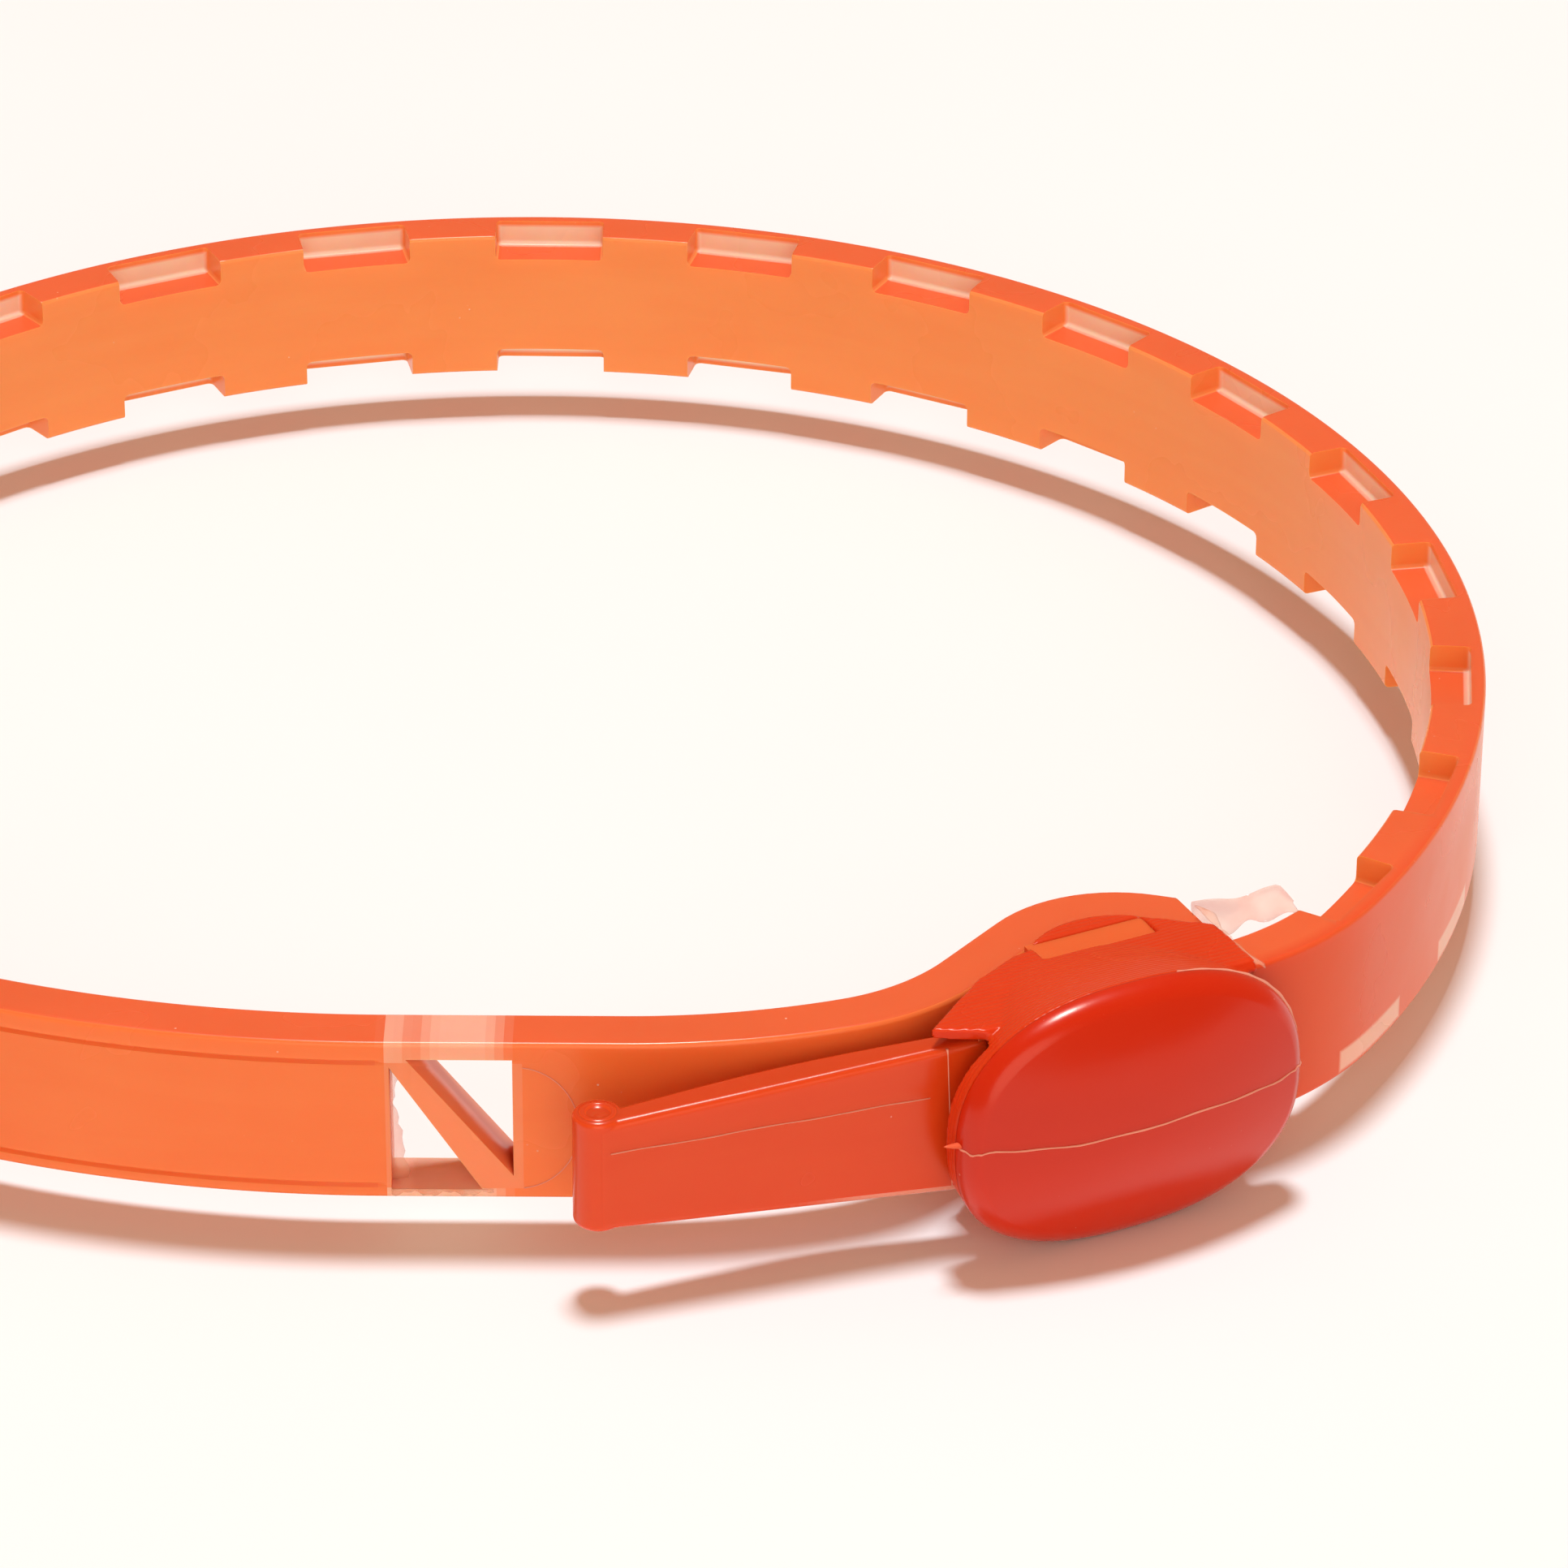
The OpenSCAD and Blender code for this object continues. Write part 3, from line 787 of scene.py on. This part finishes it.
def dome_rings(inset=0.0, lower=0.0):
    """Rings of the dome; its lower half slopes up a little towards the crown."""
    rings = []
    for n, edge, k in dome_profile(inset, lower):
        ring = oval_ring(COVER_N + n, (COVER_L / 2 - edge) * k, (COVER_H / 2 - edge) * k, COVER_Z, 144)
        rings.append([p + Vector((0, 0, 0.8 * n * max(0.0, COVER_Z - p.z) / COVER_H)) for p in ring])
    return rings


def make_cover():
    """Pebble-shaped cover with a soft rim, hollow behind."""
    outer, inner = dome_rings(), dome_rings(1.3, 1.2)
    return loft("domed_cover", outer[::-1] + inner[2:-4], COVER)


def make_cover_line():
    """Fine parting fin round the cover at half height, with the gate nib at its left end."""
    z = MID_Z + 0.1
    half = [(COVER_N + n, (COVER_L / 2 - e) * k) for n, e, k in dome_profile()]
    line = [(-r, n) for n, r in half] + [(r, n) for n, r in half[::-1]]
    outer, inner = [], []
    for i, (u, n) in enumerate(line):
        before, after = line[max(0, i - 1)], line[min(len(line) - 1, i + 1)]
        out = Vector((before[1] - after[1], after[0] - before[0], 0)).normalized()
        proud = 0.06 + 0.02 * math.sin(1.7 * i)
        wave = 0.09 * math.sin(0.45 * i + 0.6) + 0.04 * math.sin(1.3 * i)
        u += COVER_X
        outer.append((u + out.x * proud, n + out.y * proud, z + wave))
        inner.append((u - out.x * 0.25, n - out.y * 0.25, z + wave))
    rings = []
    for (uo, no, zo), (ui, ni, zi) in zip(outer, inner):
        rings.append([at_head(ui, ni, zi - 0.09), at_head(uo, no, zo - 0.03), at_head(uo, no, zo + 0.03),
                      at_head(ui, ni, zi + 0.09)])
    fin = loft("cover_parting_line", rings, LINE)
    # Painted light: the fin is paler, as light shines through the thin flash
    mark(fin, "thin", [0.3] * len(fin.data.vertices))
    left = COVER_X - COVER_L / 2
    nib_rings = []
    for i in range(9):
        t = i / 8
        r = 0.28 * (1 - t) ** 0.7 + 0.03
        nib_rings.append([at_head(left + 0.5 - 1.35 * t, SHELL_N + 0.35 + r * math.cos(b),
                                  z + 0.1 + 0.25 * t + 0.7 * r * math.sin(b))
                          for b in (2 * math.pi * k / 10 for k in range(10))])
    nib = loft("cover_nib", nib_rings, LINE)
    return fin, nib


def ribbon(name, path, thin):
    """Fine raised line; the path gives for each step a point, its outward and its sideways direction."""
    rings = []
    for at, out, side, proud in path:
        rings.append([at - out * 0.2 - side * 0.08, at + out * proud - side * 0.025,
                      at + out * proud + side * 0.025, at - out * 0.2 + side * 0.08])
    ob = loft(name, rings, LINE)
    # Painted light: raised lines are paler, as light shines through the thin plastic
    mark(ob, "thin", [thin] * len(ob.data.vertices))
    return ob


def make_rim_flash():
    """Paper-thin flash that stands out round the right end of the cover's rim."""
    ring = oval_ring(SHELL_N + 0.02, COVER_L / 2, COVER_H / 2, COVER_Z, 180)
    centre = at_head(COVER_X, SHELL_N + 0.02, COVER_Z)
    path = []
    for i in range(-24, 40):
        out = (ring[i] - centre).normalized()
        proud = 0.04 + 0.10 * smooth_step(abs(i - 8), 34, 4) + 0.02 * math.sin(1.3 * i)
        path.append((ring[i], out, NORMAL, proud))
    return ribbon("cover_rim_flash", path, 0.35)


# ---------------------------------------------------------------- tongue
TONGUE_ALONG, TONGUE_IN = polar(1, 17.9), polar(1, 17.9 + 90)
BARREL = Vector((6.44, -49.83 + LOOP_C.y, 0.0))
BARREL_R, TIP_H, ROOT_H, TONGUE_L = 1.4, 6.8, 9.7, 21.6
BARREL_LOW, BARREL_HIGH = MID_Z - TIP_H / 2 - 0.1, MID_Z + TIP_H / 2 + 0.1
UP = Vector((0, 0, 1))


def tongue_point(x, out, z):
    """Point beside the tongue: x from the barrel's axis to the root, out from its outer face."""
    return BARREL + TONGUE_ALONG * x - TONGUE_IN * (BARREL_R + out) + UP * z


def make_barrel():
    """Round barrel with a raised rim and a sunk middle on top."""
    turn = (0.4, 0.8, 1.2, 1.57)
    profile = [(BARREL_R - 0.4, BARREL_LOW)]
    profile += [(BARREL_R - 0.4 + 0.4 * math.sin(a), BARREL_LOW + 0.4 - 0.4 * math.cos(a)) for a in turn]
    profile += [(BARREL_R - 0.35 + 0.35 * math.cos(a), BARREL_HIGH - 0.35 + 0.35 * math.sin(a))
                for a in (0, *turn)]
    rim = ((1.08, 0), (1.02, -0.05), (0.95, 0.02), (0.82, 0.04), (0.72, 0), (0.62, -0.12), (0.3, -0.14))
    profile += [(r, BARREL_HIGH + rise) for r, rise in rim]
    rings = [[BARREL + polar(r, a * 7.5) + UP * z for a in range(48)] for r, z in profile]
    return loft("tongue_barrel", rings, TONGUE)


def make_tongue_lines():
    """Parting fin along the outer face, seam next to the head, and ring on the barrel."""
    fin_rings = []
    for i in range(60):
        x = 0.3 + (TONGUE_L - 3.5) * i / 59
        z = MID_Z + 1.55 + 0.2 * x / TONGUE_L + 0.03 * math.sin(0.9 * x)
        proud = 0.05 + 0.015 * math.sin(2.3 * x)
        fin_rings.append([tongue_point(x, out, z + dz)
                          for out, dz in ((-0.2, -0.07), (proud, -0.02), (proud, 0.02), (-0.2, 0.07))])
    fin = loft("tongue_parting_line", fin_rings, LINE)
    # Painted light: the fin is paler, as light shines through the thin flash
    mark(fin, "thin", [0.3] * len(fin.data.vertices))
    entry = (at_head(-11.3, 1.4, 0) - BARREL).dot(TONGUE_ALONG)
    path = [(tongue_point(entry - 0.02 * i, 0, MID_Z - 4.2 + 0.44 * i), -TONGUE_IN, TONGUE_ALONG, 0.03)
            for i in range(21)]
    seam = ribbon("tongue_seam", path, 0.3)
    path = [(BARREL + polar(0.86, a * 10) + UP * (BARREL_HIGH - 0.02), UP, polar(1, a * 10), 0.05)
            for a in range(37)]
    return fin, seam, ribbon("barrel_ring", path, 0.12)


def make_tongue():
    """Wedge tongue: straight outer face, belly towards the band, and a round barrel at its tip."""
    rings = []
    for i in range(44):
        x = -0.2 + (TONGUE_L + 0.2) * i / 43
        t = max(0.0, x / TONGUE_L)
        half = (TIP_H + (ROOT_H - TIP_H) * t) / 2
        thick = 1.55 + 0.6 * math.sin(math.pi * min(1, t * 0.95 + 0.05)) ** 1.2
        rings.append([tongue_point(x, -d, z)
                      for d, z in rounded_section(thick, MID_Z - half, MID_Z + half, 0.5, 5)])
    body = loft("tongue", rings, TONGUE)
    boolean(body, [make_barrel()], "UNION")
    soften(body, 0.1, 2, 50)
    lines = make_tongue_lines()
    # Painted light: a pale strip along the lower edge near the root, where light shines through the tongue
    pale = []
    for p in body.data.polygons:
        x = (p.center / MM - BARREL).dot(TONGUE_ALONG)
        above_edge = p.center.z / MM - (MID_Z - (TIP_H + (ROOT_H - TIP_H) * x / TONGUE_L) / 2)
        pale.append(0.35 * smooth_step(x, 10, 16) * smooth_step(above_edge, 1.1, 0.3))
    mark(body, "thin", pale, "FACE")
    mark_edges(body)
    return (body, *lines)


# ---------------------------------------------------------------- thin films
def sheet_mesh(name, grid, thick):
    """Thin closed sheet over a grid of points."""
    rows, cols = len(grid), len(grid[0])
    verts = [p for row in grid for p in row]
    faces = [(i * cols + j, i * cols + j + 1, (i + 1) * cols + j + 1, (i + 1) * cols + j)
             for i in range(rows - 1) for j in range(cols - 1)]
    ob = mesh_object(name, verts, faces, FILM)
    mod = ob.modifiers.new("thick", "SOLIDIFY")
    mod.thickness = thick * MM
    mod.offset = 0
    apply_all(ob)
    for p in ob.data.polygons:
        p.use_smooth = True
    return ob


def make_mouth_film():
    """Torn clear skin that stands out of the mouth along the inner side of the strap."""
    grid = []
    for i in range(25):
        t = i / 24
        u = MOUTH_X - 0.1 + 5.6 * t
        n = -5.3 + 1.5 * t + 0.12 * math.sin(7 * t)
        top = BAND_HIGH + 0.75 + 0.55 * t ** 2 + 0.18 * math.sin(9 * t) - 2.0 * max(0, t - 0.86) * 4
        low = BAND_HIGH - 1.0 + 0.9 * t + 0.25 * math.sin(16 * t)
        row = []
        for j in range(9):
            v = j / 8
            curl = 0.9 * (1 - v) ** 2 + 0.1 * math.sin(6 * v + 8 * t)
            row.append(at_head(u, n + curl, low + (top - low) * v))
        grid.append(row)
    return sheet_mesh("mouth_flash", grid, 0.07)


def make_lip_film():
    """Thin clear lip along the end of the sleeve, down to its outer corner."""
    grid = []
    for i in range(31):
        t = i / 30
        n = -4.9 + 6.9 * t
        wide = 0.28 + 0.45 * math.exp(-((t - 0.12) / 0.12) ** 2) + 0.35 * math.exp(-((t - 0.93) / 0.07) ** 2)
        wide += 0.05 * math.sin(31 * t)
        grid.append([at_head(MOUTH_X - 0.15 + (wide + 0.15) * v, n + 0.12 * v,
                             BAND_HIGH + 0.75 - 0.35 * v * v + 0.04 * math.sin(19 * t)) for v in
                     (0, 0.33, 0.66, 1)])
    return sheet_mesh("mouth_lip", grid, 0.06)


def make_window_film(place):
    """Clear skin on the left wall of the window and ragged flash along its sill."""
    grid = []
    for i in range(19):
        z = 0.65 + 7.9 * i / 18
        wide = 0.32 + 0.16 * math.sin(1.9 * z) + 0.10 * math.sin(5.3 * z + 1)
        if z < 4.2:
            wide += 0.5 * smooth_step(4.2 - z, 0, 1.5)
        grid.append([place(0.38 + wide * v, 0.9 + 0.2 * v, z) for v in (0, 0.5, 1)])
    wall = sheet_mesh("window_flash", grid, 0.06)
    grid = []
    for i in range(27):
        x = 0.4 + 5.6 * i / 26
        high = 0.30 + 0.14 * math.sin(3.1 * x) + 0.08 * math.sin(8.7 * x + 2)
        grid.append([place(x, -0.03 - 0.05 * v, 0.55 + high * (v - 1) + 0.1) for v in (0, 0.5, 1)])
    sill = sheet_mesh("window_sill_flash", grid, 0.05)
    return wall, sill


# ---------------------------------------------------------------- stage
CAM_ELEVATION, CAM_ROLL, CAM_DISTANCE = math.radians(30.07), 0.00588, 0.41873
CAM_TARGET = Vector((0.01634, LOOP_C.y * MM - 0.01723, BAND_HIGH * MM))
SENSOR_MM, LENS_MM = 36, 167.292
FLOOR_HALF, FLOOR_DROP = 1500.0, 0.05
SKY_COLOUR, SKY_STRENGTH = (1.0, 0.58, 0.36), 0.45
KEY = {"at": (0.02, 0.06, 1.0), "size": 0.18, "power": 6.95, "colour": (0.93, 1.09, 1.20)}
FILL = {"at": (0.1, -0.95, 0.36), "size": 0.9, "power": 3.2, "colour": (1.0, 0.95, 0.86)}


def camera():
    """The photograph's view: from the front, 30 degrees above the floor."""
    fwd = Vector((0, math.cos(CAM_ELEVATION), -math.sin(CAM_ELEVATION)))
    up = Vector((0, math.sin(CAM_ELEVATION), math.cos(CAM_ELEVATION)))
    right = Vector((1, 0, 0))
    rolled_right = right * math.cos(CAM_ROLL) + up * math.sin(CAM_ROLL)
    rolled_up = up * math.cos(CAM_ROLL) - right * math.sin(CAM_ROLL)
    data = bpy.data.cameras.new("camera")
    data.sensor_width = SENSOR_MM
    data.lens = LENS_MM
    data.clip_start = 0.01
    cam = bpy.data.objects.new("camera", data)
    bpy.context.scene.collection.objects.link(cam)
    basis = Matrix((rolled_right, rolled_up, -fwd)).transposed()
    cam.matrix_world = Matrix.Translation(CAM_TARGET - fwd * CAM_DISTANCE) @ basis.to_4x4()
    bpy.context.scene.camera = cam


def disc_light(name, at, size, power, colour):
    """Round soft light that faces the middle of the lock."""
    data = bpy.data.lights.new(name, "AREA")
    data.shape = "DISK"
    data.size = size
    data.energy = power
    data.color = colour
    lamp = bpy.data.objects.new(name, data)
    lamp.location = at
    lamp.rotation_euler = (-Vector(at)).to_track_quat("-Z", "Y").to_euler()
    bpy.context.scene.collection.objects.link(lamp)


def floor():
    """Pale level floor just under the cover."""
    mesh = bpy.data.meshes.new("floor")
    half = FLOOR_HALF * MM
    corners = [(-half, -half), (half, -half), (half, half), (-half, half)]
    mesh.from_pydata([(x, y, -FLOOR_DROP * MM) for x, y in corners], [], [(0, 1, 2, 3)])
    ob = bpy.data.objects.new("floor", mesh)
    bpy.context.scene.collection.objects.link(ob)
    mat, tree, bsdf = nodes_of("floor_paint")
    where = add(tree, "ShaderNodeTexCoord").outputs["Object"]
    tint = ramp(tree, noise(tree, where, 9.0, 4.0), [(0.35, (0.92, 0.905, 0.88)), (0.7, (0.94, 0.925, 0.90))])
    tree.links.new(tint, bsdf.inputs["Base Color"])
    bsdf.inputs["Roughness"].default_value = 0.75
    mesh.materials.append(mat)


def lighting():
    """Soft daylight from above, a weaker one from the front, and warm light from all round."""
    world = bpy.data.worlds.new("world")
    world.use_nodes = True
    sky = world.node_tree.nodes["Background"]
    sky.inputs["Color"].default_value = (*SKY_COLOUR, 1)
    sky.inputs["Strength"].default_value = SKY_STRENGTH
    scene = bpy.context.scene
    scene.world = world
    scene.view_settings.view_transform = "Standard"
    disc_light("key", **KEY)
    disc_light("fill", **FILL)


# ---------------------------------------------------------------- assembly
def finish_piece(ob, body, slot, *nodes):
    """Hides the CAD nodes that a piece stands for and hangs the piece on the body it rides; slot is not used."""
    if nodes:
        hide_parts(*nodes)
    if body:
        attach(ob, body)
    return ob


camera()
floor()
lighting()

strap, strap_inside = make_rack()
band, band_place = make_front()
finish_piece(strap, None, "strap_plastic", "rack_strap")
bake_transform(strap)
finish_piece(strap_inside, "strap", "strap_plastic")
finish_piece(band, "anchor", "strap_plastic", "anchor_band")
head, head_web = make_head()
finish_piece(head, "anchor", "head_plastic", "head_shell")
finish_piece(head_web, "anchor", "head_plastic")
finish_piece(make_cover(), "anchor", "cover_plastic", "front_cover")
for part in (*make_cover_line(), make_rim_flash()):
    finish_piece(part, "anchor", "cover_plastic")
tongue, *tongue_lines = make_tongue()
finish_piece(tongue, "strap", "tongue_plastic", "strap_tongue", "barrel_pin")
for line in tongue_lines:
    finish_piece(line, "strap", "tongue_plastic")
finish_piece(make_mouth_film(), "anchor", "film_plastic", "mouth_film")
finish_piece(make_lip_film(), "anchor", "film_plastic")
wall_film, sill_film = make_window_film(band_place)
finish_piece(wall_film, "anchor", "film_plastic", "window_film")
finish_piece(sill_film, "anchor", "film_plastic")
finish_piece(make_witness(band_place), "anchor", "strap_plastic")

for name, ob in frame["nodes"].items():
    slot = next(s["material_slot"] for s in frame["record"]["subparts"] if s["node"] == name)
    ob.data.materials.clear()
    ob.data.materials.append({"steel": STEEL, "inner_plastic": INNER}.get(slot, STRAP))
